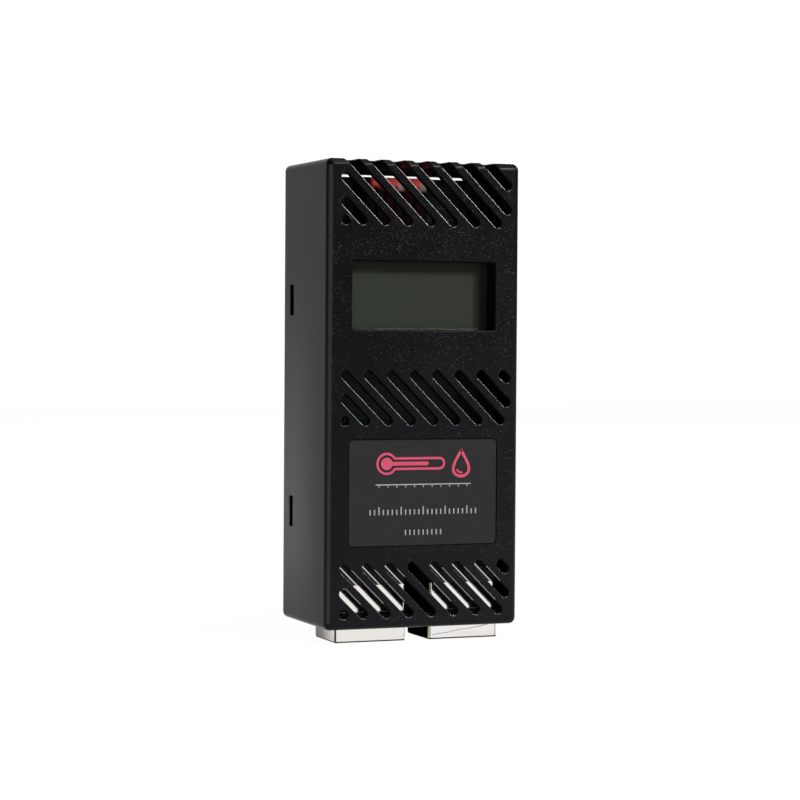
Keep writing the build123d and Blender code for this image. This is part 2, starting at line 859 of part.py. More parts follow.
def make_shield(side, centre):
    """Tin-plated sheet folded round the front, sides and mouth, with two solder tabs."""
    with BuildPart() as shield:
        with BuildSketch(Plane.XY.offset(mouth_z)):
            box_sketch(jack_width, jack_front_depth, jack_back_depth, centre)
        extrude(amount=shield_length)
        fillet(shield.edges().filter_by(Axis.Z).group_by(Axis.Y)[0], shield_fold)
        rear_foot = shield.faces().sort_by(Axis.Z)[0].edges().filter_by(Axis.X)
        fillet(rear_foot.sort_by(Axis.Y)[-1], shield_rear_corner)
        foot = shield.faces().sort_by(Axis.Z)[0]
        fillet(foot.edges() - foot.edges().sort_by(Axis.Y)[-1:], shield_foot)
        with BuildSketch(Plane.XY.offset(mouth_z + shield_sheet)):
            box_sketch(
                jack_width - 2 * shield_sheet,
                jack_front_depth + shield_sheet,
                jack_back_depth,
                centre,
            )
        extrude(amount=shield_length, mode=Mode.SUBTRACT)
        with BuildSketch(Plane.XY.offset(mouth_z)):
            box_sketch(port_width, port_front_depth, port_back_depth, centre)
            box_sketch(latch_width, port_back_depth, port_back_depth + latch_height, centre)
        extrude(amount=shield_sheet, mode=Mode.SUBTRACT)
        # Seams where the front sheet meets the two sides
        with BuildSketch(Plane.XY.offset(mouth_z)):
            seam_x = (jack_width - shield_seam) / 2 - shield_fold
            with Locations(
                (centre - seam_x, y_at(jack_front_depth)),
                (centre + seam_x, y_at(jack_front_depth)),
            ):
                Rectangle(shield_seam, shield_sheet)
        extrude(amount=shield_length, mode=Mode.SUBTRACT)
        # Solder tabs go through the board
        with BuildSketch(at_depth(jack_back_depth)):
            with Locations((centre, tab_z)):
                with GridLocations(jack_width - shield_sheet, 0, 2, 1):
                    Rectangle(shield_sheet, shield_tab_width)
        extrude(amount=-(board_back_depth - jack_back_depth + shield_tab_tail))
    shield.part.label = f"{side}_jack_shield"
    export_step(shield.part, f"parts/{side}_jack_shield.step")


def make_body(side, centre):
    """Black moulded body with the plug's port, the latch notch and the insert's chamber."""
    with BuildPart() as body:
        with BuildSketch(Plane.XY.offset(mouth_z + shield_sheet)):
            box_sketch(body_width, body_front_depth, jack_back_depth, centre)
        extrude(amount=jack_length - shield_sheet)
        with BuildSketch(Plane.XY.offset(mouth_z + shield_sheet)):
            box_sketch(port_width, port_front_depth, port_back_depth, centre)
            box_sketch(latch_width, port_back_depth, port_back_depth + latch_height, centre)
        extrude(amount=port_length, mode=Mode.SUBTRACT)
        with BuildSketch(Plane.XY.offset(port_top_z)):
            box_sketch(insert_width, insert_front_depth, jack_back_depth, centre)
        extrude(amount=jack_top_z - port_top_z, mode=Mode.SUBTRACT)
        with BuildSketch(Plane.XY.offset(mouth_z + shield_sheet + mouth_wall)):
            box_sketch(insert_width, insert_front_depth, port_front_depth, centre)
        extrude(amount=port_length, mode=Mode.SUBTRACT)
        # Pegs in the board take the pull of the plug
        with BuildSketch(at_depth(jack_back_depth)):
            with Locations((centre, peg_z)):
                with GridLocations(peg_spacing, 0, 2, 1):
                    Circle(peg_radius)
        extrude(amount=-(board_depth - jack_back_depth + peg_length))
    body.part.label = f"{side}_jack_body"
    export_step(body.part, f"parts/{side}_jack_body.step")


def make_insert(side, centre):
    """Insert that spaces the wires: a base, short teeth at the mouth and long fins behind."""
    base_low = mouth_z + shield_sheet + mouth_wall + jack_fit
    with BuildPart() as insert:
        with BuildSketch(Plane.XY.offset(base_low)):
            box_sketch(
                insert_width - 2 * jack_fit,
                insert_front_depth + jack_fit,
                insert_front_depth + jack_fit + insert_base,
                centre,
            )
        extrude(amount=jack_top_z - base_low)
        fin_start = insert_front_depth + jack_fit + insert_base
        with BuildSketch(Plane.XY.offset(base_low)):
            with Locations((centre, y_at((fin_start + port_front_depth) / 2))):
                with GridLocations(contact_pitch, 0, contact_count + 1, 1):
                    Rectangle(insert_fin, port_front_depth - fin_start)
        extrude(amount=insert_tooth)
        fin_end = jack_back_depth - insert_back_gap
        with BuildSketch(Plane.XY.offset(port_top_z + jack_fit)):
            with Locations((centre, y_at((fin_start + fin_end) / 2))):
                with GridLocations(contact_pitch, 0, contact_count + 1, 1):
                    Rectangle(insert_fin, fin_end - fin_start)
        extrude(amount=jack_top_z - port_top_z - jack_fit)
    insert.part.label = f"{side}_jack_insert"
    export_step(insert.part, f"parts/{side}_jack_insert.step")


def make_contacts(side, centre):
    """Eight gilt wires: a tail through the board, a run to the mouth and a sprung return."""
    bend_z = mouth_z + shield_sheet + contact_bend_rise
    spring_z = bend_z + contact_spring_rise
    with BuildPart() as contacts:
        for x, z in contact_rows(centre):
            with BuildLine() as route:
                FilletPolyline(
                    (x, y_at(board_back_depth + contact_tail - board_thickness), z),
                    (x, y_at(wire_depth), z),
                    (x, y_at(wire_depth), bend_z),
                    (x, y_at(wire_depth + contact_bend_depth), bend_z),
                    (x, y_at(wire_depth + contact_spring_depth), spring_z),
                    radius=contact_bend_radius,
                )
            with BuildSketch(Plane(route.line @ 0, z_dir=route.line % 0)):
                Circle(contact_radius)
            sweep(path=route.line)
    contacts.part.label = f"{side}_jack_contacts"
    export_step(contacts.part, f"parts/{side}_jack_contacts.step")


for side, centre in (("left", -jack_pitch / 2), ("right", jack_pitch / 2)):
    make_shield(side, centre)
    make_body(side, centre)
    make_insert(side, centre)
    make_contacts(side, centre)

# Humidity sensor in a red moulded case, high up behind the top vents
humidity_front_depth = display_board_back + humidity_board_gap
with BuildPart() as humidity_sensor:
    with BuildSketch(at_depth(board_depth)):
        with Locations((humidity_x, humidity_z)):
            Rectangle(humidity_width, humidity_height)
    extrude(amount=board_depth - humidity_front_depth)
    chamfer(humidity_sensor.faces().sort_by(Axis.Y)[0].edges(), humidity_chamfer)
    # Row of breathing slots in its front
    with BuildSketch(at_depth(humidity_front_depth)):
        with Locations((humidity_x, humidity_z)):
            with GridLocations(humidity_slot_pitch, 0, humidity_slot_count, 1):
                SlotOverall(
                    humidity_height - 2 * humidity_slot_end_gap,
                    humidity_slot_width,
                    rotation=90,
                )
    extrude(amount=-humidity_slot_depth, mode=Mode.SUBTRACT)
humidity_sensor.part.label = "humidity_sensor"
export_step(humidity_sensor.part, "parts/humidity_sensor.step")

with BuildPart() as humidity_leads:
    with BuildSketch(at_depth(board_depth)):
        with Locations((humidity_x, humidity_z)):
            with GridLocations(humidity_lead_gap, 0, 2, 1):
                Circle(lead_radius)
    extrude(amount=-lead_tail)
humidity_leads.part.label = "humidity_leads"
export_step(humidity_leads.part, "parts/humidity_leads.step")

# Thermistor: a dipped bead held off the board on two leads, behind the middle vents
with BuildPart() as thermistor_bead:
    with BuildSketch(Plane.XY.offset(bead_z)):
        with BuildLine():
            top = (bead_x, y_at(bead_depth) - bead_radius)
            side_point = (bead_x + bead_radius, y_at(bead_depth))
            foot = (bead_x + bead_neck_radius, y_at(bead_depth) + bead_neck_length)
            RadiusArc(top, side_point, -bead_radius)
            Spline(side_point, foot, tangents=((0, 1), (-0.5, 1)))
            Line(foot, (bead_x, foot[1]))
            Line((bead_x, foot[1]), top)
        make_face()
    revolve(axis=Axis((bead_x, 0, bead_z), (0, 1, 0)))
thermistor_bead.part.label = "thermistor_bead"
export_step(thermistor_bead.part, "parts/thermistor_bead.step")

with BuildPart() as thermistor_leads:
    bead_end = bead_depth + bead_neck_length
    for side in (-1, 1):
        with BuildLine() as route:
            FilletPolyline(
                (bead_x + side * bead_lead_side, y_at(bead_end), bead_z),
                (bead_x + side * bead_lead_side, y_at(bead_end + 2 * bead_lead_bend), bead_z),
                (bead_x + side * bead_lead_gap / 2, y_at(bead_end + 4 * bead_lead_bend), bead_z),
                (bead_x + side * bead_lead_gap / 2, y_at(board_depth + lead_tail), bead_z),
                radius=bead_lead_bend,
            )
        with BuildSketch(Plane(route.line @ 0, z_dir=route.line % 0)):
            Circle(bead_lead_radius)
        sweep(path=route.line)
thermistor_leads.part.label = "thermistor_leads"
export_step(thermistor_leads.part, "parts/thermistor_leads.step")

# Microcontroller in a square flat package, on the middle of the board
group_z = jack_top_z + micro_rise
with BuildPart() as microcontroller:
    with BuildSketch(at_depth(board_depth - package_standoff)):
        with Locations((micro_x, group_z)):
            Rectangle(micro_size, micro_size)
    extrude(amount=micro_height)
    chamfer(microcontroller.faces().sort_by(Axis.Y)[0].edges(), package_chamfer)
    with BuildSketch(at_depth(board_depth)):
        with Locations((micro_x, group_z)):
            with GridLocations(0, micro_pitch, 1, micro_legs):
                Rectangle(micro_span, micro_leg)
            with GridLocations(micro_pitch, 0, micro_legs, 1):
                Rectangle(micro_leg, micro_span)
    extrude(amount=leg_thickness)
microcontroller.part.label = "microcontroller"
export_step(microcontroller.part, "parts/microcontroller.step")

# Line drivers: one eight-legged chip above each jack
driver_x = jack_pitch / 2 - driver_inset
driver_z = jack_top_z + driver_rise
with BuildPart() as line_drivers:
    with BuildSketch(at_depth(board_depth - package_standoff)):
        with Locations((-driver_x, driver_z), (driver_x, driver_z)):
            Rectangle(driver_length, driver_width)
    extrude(amount=driver_height)
    with BuildSketch(at_depth(board_depth)):
        with Locations((-driver_x, driver_z), (driver_x, driver_z)):
            with GridLocations(driver_pitch, 0, driver_legs, 1):
                Rectangle(driver_leg, driver_span)
    extrude(amount=leg_thickness)
line_drivers.part.label = "line_drivers"
export_step(line_drivers.part, "parts/line_drivers.step")

# Crystal in its drawn steel can, half-way between the microcontroller and a screw's boss
boss_inner_x = board_screw_x - board_boss_radius
crystal_x = -(boss_inner_x + micro_span / 2 - micro_x) / 2
with BuildPart() as crystal:
    with BuildSketch(at_depth(board_depth)):
        with Locations((crystal_x, group_z)):
            SlotOverall(
                crystal_length + 2 * crystal_flange,
                crystal_width + 2 * crystal_flange,
                rotation=90,
            )
    extrude(amount=crystal_flange_height)
    with BuildSketch(at_depth(board_depth - crystal_flange_height)):
        with Locations((crystal_x, group_z)):
            SlotOverall(crystal_length, crystal_width, rotation=90)
    extrude(amount=crystal_height - crystal_flange_height)
    fillet(crystal.faces().sort_by(Axis.Y)[0].edges(), crystal_edge)
crystal.part.label = "crystal"
export_step(crystal.part, "parts/crystal.step")

# Clamp diodes that guard the two ports, in a row up the middle
with BuildPart() as clamp_diodes:
    with BuildSketch(at_depth(board_depth)):
        with Locations((0, jack_top_z + diode_rise)):
            with GridLocations(0, diode_pitch, 1, diode_count):
                Rectangle(diode_length, diode_width)
    extrude(amount=diode_height)
clamp_diodes.part.label = "clamp_diodes"
export_step(clamp_diodes.part, "parts/clamp_diodes.step")

# Supply capacitors: two aluminium cans with a pressed groove near the foot
capacitor_x = diode_length / 2 + capacitor_gap + capacitor_radius
capacitor_z = jack_top_z + capacitor_rise
with BuildPart() as supply_capacitors:
    with BuildSketch(at_depth(board_depth)):
        with Locations((-capacitor_x, capacitor_z), (capacitor_x, capacitor_z)):
            Circle(capacitor_radius)
    extrude(amount=capacitor_height)
    fillet(supply_capacitors.faces().sort_by(Axis.Y)[:2].edges(), capacitor_edge)
    with BuildSketch(at_depth(board_depth - capacitor_groove_rise)):
        with Locations((-capacitor_x, capacitor_z), (capacitor_x, capacitor_z)):
            Circle(capacitor_radius)
            Circle(capacitor_radius - capacitor_groove_depth, mode=Mode.SUBTRACT)
    extrude(amount=capacitor_groove_width, mode=Mode.SUBTRACT)
supply_capacitors.part.label = "supply_capacitors"
export_step(supply_capacitors.part, "parts/supply_capacitors.step")

# Voltage regulator with its cooling tab and three legs, behind the display
with BuildPart() as voltage_regulator:
    with BuildSketch(at_depth(board_depth - regulator_foot)):
        with Locations((regulator_x, window_z + regulator_rise)):
            Rectangle(regulator_width, regulator_height)
    extrude(amount=regulator_thickness)
    chamfer(voltage_regulator.faces().sort_by(Axis.Y)[0].edges(), package_chamfer)
    with BuildSketch(at_depth(board_depth)):
        with Locations((regulator_x, window_z + regulator_rise)):
            Rectangle(
                regulator_tab_width, regulator_tab_reach, align=(Align.CENTER, Align.MIN)
            )
            with GridLocations(regulator_leg_pitch, 0, 3, 1):
                Rectangle(
                    regulator_leg_width,
                    regulator_leg_reach,
                    align=(Align.CENTER, Align.MAX),
                )
    extrude(amount=regulator_foot)
voltage_regulator.part.label = "voltage_regulator"
export_step(voltage_regulator.part, "parts/voltage_regulator.step")

# Small chip capacitors beside the microcontroller, and chip resistors behind the display
with BuildPart() as chip_capacitors:
    with BuildSketch(at_depth(board_depth)):
        with Locations(((boss_inner_x + micro_span / 2 + micro_x) / 2, group_z)):
            with GridLocations(chip_side_pitch, chip_row_pitch, chip_columns, chip_rows):
                Rectangle(chip_width, chip_length)
    extrude(amount=capacitor_chip_height)
chip_capacitors.part.label = "chip_capacitors"
export_step(chip_capacitors.part, "parts/chip_capacitors.step")

with BuildPart() as chip_resistors:
    with BuildSketch(at_depth(board_depth)):
        with Locations((resistor_x, window_z + regulator_rise)):
            with GridLocations(
                resistor_pitch, chip_row_pitch, resistor_columns, resistor_rows
            ):
                Rectangle(chip_length, chip_width)
    extrude(amount=resistor_height)
chip_resistors.part.label = "chip_resistors"
export_step(chip_resistors.part, "parts/chip_resistors.step")
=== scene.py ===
import math

import bpy
import numpy as np
from mathutils import Matrix, Vector


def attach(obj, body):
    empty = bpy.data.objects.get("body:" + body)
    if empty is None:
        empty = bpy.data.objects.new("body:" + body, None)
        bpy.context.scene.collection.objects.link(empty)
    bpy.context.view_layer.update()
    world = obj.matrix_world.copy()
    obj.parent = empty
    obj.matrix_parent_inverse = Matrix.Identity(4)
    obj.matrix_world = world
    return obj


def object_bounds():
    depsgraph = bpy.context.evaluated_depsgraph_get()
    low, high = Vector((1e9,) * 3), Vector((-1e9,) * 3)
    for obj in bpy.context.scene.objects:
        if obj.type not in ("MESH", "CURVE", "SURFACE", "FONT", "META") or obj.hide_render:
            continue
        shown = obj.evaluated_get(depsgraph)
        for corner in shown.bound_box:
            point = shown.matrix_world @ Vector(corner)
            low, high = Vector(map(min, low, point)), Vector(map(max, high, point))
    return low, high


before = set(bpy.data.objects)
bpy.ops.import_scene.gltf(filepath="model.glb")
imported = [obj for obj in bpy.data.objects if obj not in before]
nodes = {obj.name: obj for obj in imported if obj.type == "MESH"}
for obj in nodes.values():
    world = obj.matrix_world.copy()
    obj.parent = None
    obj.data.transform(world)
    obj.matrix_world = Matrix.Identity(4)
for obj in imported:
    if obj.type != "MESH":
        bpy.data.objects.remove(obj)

cad_box = [list(corner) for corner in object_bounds()]


# Housing: a deep front cover and a flat back, injection mouldings in black plastic that are
# spark-eroded, so that they look matt from a step away and glitter a little close to.
# Slots, window and recess are in the solids; the finish is worked out here, and the glitter is painted as
# glints.
class Wire:
    """One socket of a shader. Arithmetic on wires adds Math nodes, and node() adds any other."""

    def __init__(self, socket):
        self.socket = socket

    def node(self, kind, settings=None, sockets=None, out=0):
        """Adds a node of that kind: settings first, then each socket's value or wire.

        Sockets and the output wanted go by name, or by number where names repeat.
        """
        tree = self.socket.id_data
        new = tree.nodes.new("ShaderNode" + kind)
        for name, value in (settings or {}).items():
            setattr(new, name, value)
        for name, value in (sockets or {}).items():
            if isinstance(value, Wire):
                tree.links.new(value.socket, new.inputs[name])
            else:
                new.inputs[name].default_value = value
        return Wire(new.outputs[out])

    def beside(self, name):
        """Another output of the node that this wire comes from."""
        return Wire(self.socket.node.outputs[name])

    def math(self, operation, *others):
        """Math node with this wire first and the others after it."""
        return self.node("Math", {"operation": operation}, dict(enumerate((self, *others))))

    def __add__(self, other):
        return self.math("ADD", other)

    __radd__ = __add__

    def __sub__(self, other):
        return self.math("SUBTRACT", other)

    def __rsub__(self, other):
        return (self * -1.0).math("ADD", other)

    def __mul__(self, other):
        return self.math("MULTIPLY", other)

    __rmul__ = __mul__

    def __gt__(self, other):
        return self.math("GREATER_THAN", other)

    def __lt__(self, other):
        return self.math("LESS_THAN", other)

    def __abs__(self):
        return self.math("ABSOLUTE")

    def parts(self):
        """The three parts of this vector or colour. A place's parts run across, back and up."""
        first = self.node("SeparateXYZ", None, {0: self})
        return first, first.beside("Y"), first.beside("Z")

    def capped(self):
        """No more than 1, for masks that overlap where they are added."""
        return self.math("MINIMUM", 1.0)

    def wrapped(self, pitch):
        """Distance from the nearest multiple of a pitch, from minus half of it to half of it."""
        return self.math("WRAP", pitch / 2.0, -pitch / 2.0)

    def step(self, low, high):
        """Runs smoothly from 0 at low to 1 at high."""
        settings = {"interpolation_type": "SMOOTHSTEP"}
        return self.node("MapRange", settings, {"Value": self, "From Min": low, "From Max": high})

    def band(self, start, full, fading, end):
        """Rises smoothly from 0 at start to 1 at full, and falls from 1 at fading to 0 at end."""
        return self.step(start, full) * (1.0 - self.step(fading, end))

    def line(self, place, half, end):
        """1 within half of a place, falling smoothly to 0 at end."""
        return 1.0 - abs(self - place).step(half, end)

    def blend(self, start, end):
        """Colour that goes from start to end as this wire goes from 0 to 1.

        Sockets 6 and 7 and output 2 of the Mix node are the ones for colours.
        """
        start = start if isinstance(start, Wire) else (*start, 1.0)
        end = end if isinstance(end, Wire) else (*end, 1.0)
        return self.node("Mix", {"data_type": "RGBA"}, {0: self, 6: start, 7: end}, out=2)

    def noise(self, scale, detail=2.0, roughness=0.5):
        """Noise from 0 to 1 on this vector, with scale features a metre."""
        sockets = {"Vector": self, "Scale": scale, "Detail": detail, "Roughness": roughness}
        return self.node("TexNoise", None, sockets)

    def bump(self, depth, strength):
        """Normal of a surface raised by this wire times depth."""
        return self.node("Bump", None, {"Height": self, "Distance": depth, "Strength": strength})


class Finish:
    """A material with one Principled shader, read from Object coordinates in metres."""

    def __init__(self, name, **constants):
        self.material = bpy.data.materials.new(name)
        self.material.use_nodes = True
        self.tree = self.material.node_tree
        self.shader = self.tree.nodes["Principled BSDF"]
        self.plain = Wire(self.shader.outputs[0])
        self.place = self.plain.node("TexCoord", out="Object")
        self.set(**constants)

    def set(self, **values):
        """Sets sockets of the shader, named with _ for a space, to values or wires."""
        for name, value in values.items():
            socket = self.shader.inputs[name.replace("_", " ")]
            if isinstance(value, Wire):
                self.tree.links.new(value.socket, socket)
            elif isinstance(value, tuple):
                socket.default_value = (*value, 1.0)
            else:
                socket.default_value = value

    def give_way(self, share, other):
        """Lets another shader take the Principled one's place by that share."""
        shown = share.node("MixShader", None, {0: share, 1: self.plain, 2: other})
        self.tree.links.new(shown.socket, self.tree.nodes["Material Output"].inputs[0])

    def paint(self, *names):
        """Puts this finish on CAD nodes in place of their plain one."""
        for name in names:
            mesh = nodes[name].data
            mesh.materials.clear()
            mesh.materials.append(self.material)


def reach(name):
    """Least and greatest corner of a CAD node, in metres."""
    vertices = nodes[name].data.vertices
    points = np.empty(3 * len(vertices), dtype=np.float32)
    vertices.foreach_get("co", points)
    points = points.reshape(-1, 3)
    return points.min(axis=0).tolist(), points.max(axis=0).tolist()


half_width = cad_box[1][0]
half_height = cad_box[1][2]
front = cad_box[0][1]
flat_depth = 0.00002
rim_depth = 0.00028
edge_round = 0.0015
wall_skin = 0.0002
rear_skin = 0.0003
window_half_width = 0.0162
window_half_height = 0.0072
window_up = (reach("lcd_polariser")[0][2] + reach("lcd_polariser")[1][2]) / 2.0
recess_shade_side = 0.0005
recess_shade_end = 0.0007
slot_pitch = 0.00512
slot_place = 0.00195
lower_rim_end = 0.0006
upper_rim_start = 0.0010
row_ends = 0.034
middle_row_up = -0.0006
middle_row_half = 0.007
brighter_from = 0.006
jack_gap_middle = -0.0008
jack_gap_half = 0.0033
jacks_right_end = 0.0178
reflection_up = -0.0402
reflection_half = 0.0036
sheen_top = 0.035
sheen_full = -0.030
sheen_foot = -0.050
sheen_start = 0.0012
sheen_thick = 0.0232
highlight_band = (0.0001, 0.0005, 0.0007, 0.0012)
highlight_depth = 0.0011

darker_black = (0.0010, 0.0009, 0.0013)
paler_black = (0.0115, 0.0102, 0.0128)
recess_black = (0.0005, 0.0005, 0.0005)
highlight_grey = (0.042, 0.042, 0.045)
sheen_grey = (0.25, 0.24, 0.235)
glint_grey = (0.27, 0.27, 0.28)
reflection_grey = (0.50, 0.50, 0.51)

housing = Finish("housing_black", IOR=1.2, Coat_IOR=2.0, Coat_Roughness=0.18)
across, back, up = housing.place.parts()
depth = back - front
from_left = across + half_width
front_face = depth < flat_depth
rear_face = back > -rear_skin
side_wall = abs(across) > half_width - wall_skin
clear_of_edges = (abs(across) < half_width - edge_round) * (abs(up) < half_height - edge_round)
inner_wall = clear_of_edges * (depth > rim_depth) * (1.0 - rear_face)

# The slots' softened rims: the lower left ones glint through a clear coat, more the higher
# they are; the bottom row's upper right ones get a painted pale reflection of the jacks.
soft_rim = (1.0 - front_face) * (depth < rim_depth) * clear_of_edges
from_slot = (across + up - slot_place).wrapped(slot_pitch)
bottom_row = up < -row_ends
in_rows = (up > row_ends) + (abs(up - middle_row_up) < middle_row_half) + bottom_row
glint = 0.55 + 0.30 * up.step(brighter_from, row_ends)
before_jacks = (abs(across - jack_gap_middle) > jack_gap_half) * (across < jacks_right_end)
# Painted reflection of the jacks on the bottom row's upper right rims.
painted_jack_reflection = soft_rim * bottom_row * (from_slot > upper_rim_start) * before_jacks
painted_jack_reflection = painted_jack_reflection * (abs(up - reflection_up) < reflection_half)
coat = soft_rim * in_rows * glint * (from_slot < lower_rim_end) + 0.5 * painted_jack_reflection

# Painted glints stand for the eroded face's sparkle, few in the rows and at the lower left,
# and the face is lighter towards the lower right.
grain = housing.place.noise(3600.0, 1.5, 0.6)
cloud = housing.place.noise(110.0, 3.0)
glint_cells = housing.place.node("TexVoronoi", None, {"Vector": housing.place, "Scale": 3800.0})
chance, _, _ = glint_cells.beside("Color").parts()
crowd = (cloud + 0.25 * up.step(-0.02, 0.03) + 6.0 * across).step(0.42, 0.76)
sparse = 1.0 - 0.42 * crowd * (1.0 - 0.5 * in_rows)
painted_glint = (1.0 - glint_cells.step(0.08, 0.25)) * (chance > sparse) * front_face
# Lighter towards the lower right.
lower_right = (10.0 * across - 9.0 * up + 0.4).step(-0.1, 1.1)

# Painted sheen on the left wall's lower part, a painted highlight on the left edge, and
# painted shade on the walls of the window's recess.
# Painted sheen on the left wall, strongest low down and towards the rear.
low_down = (1.0 - up.step(sheen_full, sheen_top)) * (0.35 + 0.65 * up.step(sheen_foot, sheen_full))
painted_sheen = (from_left < wall_skin) * low_down * depth.step(sheen_start, sheen_thick)
# Painted highlight along the rounded left front edge.
left_edge_highlight = from_left.band(*highlight_band) * (depth < highlight_depth)
left_edge_highlight = left_edge_highlight * (abs(up) < half_height - edge_round)
# Painted shade on the walls of the window's recess.
recess_shade = abs(across) < window_half_width + recess_shade_side
recess_shade = recess_shade * (abs(up - window_up) < window_half_height + recess_shade_end) * (1.0 - front_face)

body = (0.35 * cloud + 0.65 * lower_right).blend(darker_black, paler_black)
body = painted_sheen.blend(body, sheen_grey)
body = left_edge_highlight.blend(body, highlight_grey)
body = recess_shade.blend(body, recess_black)
body = painted_jack_reflection.blend(body, reflection_grey)
housing.set(
    Base_Color=(painted_glint * chance).blend(body, glint_grey),
    Coat_Weight=coat,
    Roughness=0.24 + 0.06 * cloud + 0.09 * side_wall + 0.5 * (inner_wall + recess_shade).capped(),
    Normal=(grain * (front_face + rear_face + 0.2 * side_wall)).bump(0.00003, 0.7),
)
housing.paint("front_cover", "back_cover")


# Display: polariser, two glasses, reflector film and rubber strips in a moulded frame.
# Nothing is shown on it, so only the grey-green of the film behind satin glass is seen,
# with the frame's shadow painted at its top and right, and a painted glint on its ragged lower edge.
cool_film = (0.026, 0.036, 0.024)
warm_film = (0.034, 0.035, 0.026)
hazy_film = (0.034, 0.039, 0.030)
shaded_film = (0.020, 0.021, 0.015)
edge_glint_grey = (0.12, 0.12, 0.11)
window_top = window_up + window_half_height
glint_up = window_up - window_half_height + 0.0002
shade_above = (window_top - 0.00265, window_top - 0.00230)
shade_right_of = (window_half_width - 0.00355, window_half_width - 0.00305)

polariser = Finish("polariser_film", IOR=1.3, Roughness=0.28)
across, _, up = polariser.place.parts()
ragged_up = up + 0.0008 * (polariser.place.noise(700.0, 4.0, 0.7) - 0.5)
warm = (across - up).step(-0.030, 0.004)
haze = polariser.place.noise(130.0, 3.0)
tint = haze.blend(warm.blend(cool_film, warm_film), hazy_film)
# Painted shadow of the frame at the top and right.
painted_frame_shadow = ragged_up.step(*shade_above) + across.step(*shade_right_of)
tint = painted_frame_shadow.capped().blend(tint, shaded_film)
# Painted glint along the ragged lower edge.
edge_glint = ragged_up.band(glint_up - 0.00012, glint_up - 0.00004, glint_up + 0.00004, glint_up + 0.00016)
edge_glint = edge_glint * polariser.place.noise(260.0).step(0.40, 0.58)
polariser.set(
    Base_Color=edge_glint.blend(tint, edge_glint_grey),
    Normal=polariser.place.noise(2600.0).bump(0.00001, 0.25),
)
polariser.paint("lcd_polariser")

glass = Finish("cell_glass", IOR=1.5, Roughness=0.04, Transmission_Weight=0.9)
glass.set(Base_Color=glass.place.noise(60.0).blend((0.70, 0.78, 0.72), (0.78, 0.84, 0.80)))
glass.paint("lcd_front_glass", "lcd_rear_glass")

film = Finish("reflector_film", Metallic=0.6)
brushed = film.place.noise(900.0, 3.0)
film.set(
    Base_Color=brushed.blend((0.46, 0.50, 0.42), (0.56, 0.58, 0.50)),
    Roughness=0.35 + 0.2 * brushed,
)
film.paint("lcd_reflector")

rubber = Finish("strip_rubber", IOR=1.45, Roughness=0.8)
layers = rubber.place.node(
    "TexWave", {"bands_direction": "X"}, {"Vector": rubber.place, "Scale": 900.0}, out="Fac"
)
rubber.set(Base_Color=layers.blend((0.30, 0.30, 0.31), (0.05, 0.05, 0.05)))
rubber.paint("lcd_rubber_strips")


# Black mouldings inside: the display's frame, the header and its socket, the chips'
# packages and the jacks' combs. Smooth glass-filled plastic with a faint flow pattern.
moulding = Finish("black_moulding", IOR=1.4)
flow = moulding.place.noise(700.0, 4.0)
moulding.set(
    Base_Color=flow.blend((0.006, 0.006, 0.007), (0.014, 0.014, 0.015)),
    Roughness=0.42 + 0.2 * flow,
    Normal=flow.bump(0.00003, 0.3),
)
moulding.paint(
    "lcd_frame",
    "header_strip",
    "header_socket",
    "display_chip",
    "microcontroller",
    "line_drivers",
    "voltage_regulator",
    "clamp_diodes",
    "left_jack_insert",
    "right_jack_insert",
)


# Boards: woven glass laminate under green solder mask, with copper tracks that show
# through the mask as slightly raised paler lines. Four screws hold each of them.
board = Finish("board_mask", IOR=1.35, Coat_Weight=0.1, Coat_Roughness=0.2)
across, _, up = board.place.parts()
threads = 5200.0
weave = (threads * across).math("SINE") * (threads * up).math("SINE")
lands = board.place.node(
    "TexVoronoi",
    {"distance": "CHEBYCHEV"},
    {"Vector": board.place, "Scale": 420.0, "Randomness": 0.35},
)
track = lands.step(0.38, 0.44)
board.set(
    Base_Color=track.blend((0.0022, 0.0090, 0.0042), (0.0040, 0.0180, 0.0075)),
    Roughness=0.36 + 0.1 * weave,
    Normal=(track + 0.15 * weave).bump(0.00004, 0.5),
)
board.paint("main_board", "display_board")


# Small parts on the boards: gilt pins and wires, tinned leads, zinc-plated screws, drawn
# cans, and fired ceramic chips. All but the screws are soldered in place.
def metal(name, dark, light, low, high, size):
    """Metal between two colours and two roughnesses, mottled by noise of that many features a metre."""
    finish = Finish(name, Metallic=1.0)
    mottle = finish.place.noise(size, 3.0)
    finish.set(
        Base_Color=mottle.blend(dark, light),
        Roughness=low + (high - low) * mottle,
        Normal=mottle.bump(0.00002, 0.2),
    )
    return finish


metal("gilt_wire", (0.72, 0.50, 0.20), (0.90, 0.68, 0.33), 0.16, 0.30, 900.0).paint(
    "header_pins", "left_jack_contacts", "right_jack_contacts"
)
metal("tinned_lead", (0.56, 0.56, 0.57), (0.74, 0.74, 0.73), 0.22, 0.42, 1500.0).paint(
    "humidity_leads", "thermistor_leads"
)
metal("zinc_screw", (0.50, 0.51, 0.54), (0.66, 0.67, 0.70), 0.25, 0.42, 1200.0).paint(
    "display_screws", "board_screws"
)
metal("drawn_can", (0.60, 0.60, 0.61), (0.74, 0.74, 0.75), 0.20, 0.34, 500.0).paint(
    "crystal", "supply_capacitors"
)

ceramic = Finish("chip_ceramic", IOR=1.6)
fired = abs(ceramic.place.noise(800.0) - 0.5)
ceramic.set(
    Base_Color=fired.blend((0.30, 0.22, 0.15), (0.42, 0.34, 0.26)),
    Roughness=0.45 + 0.3 * fired,
)
ceramic.paint("chip_capacitors", "chip_resistors")


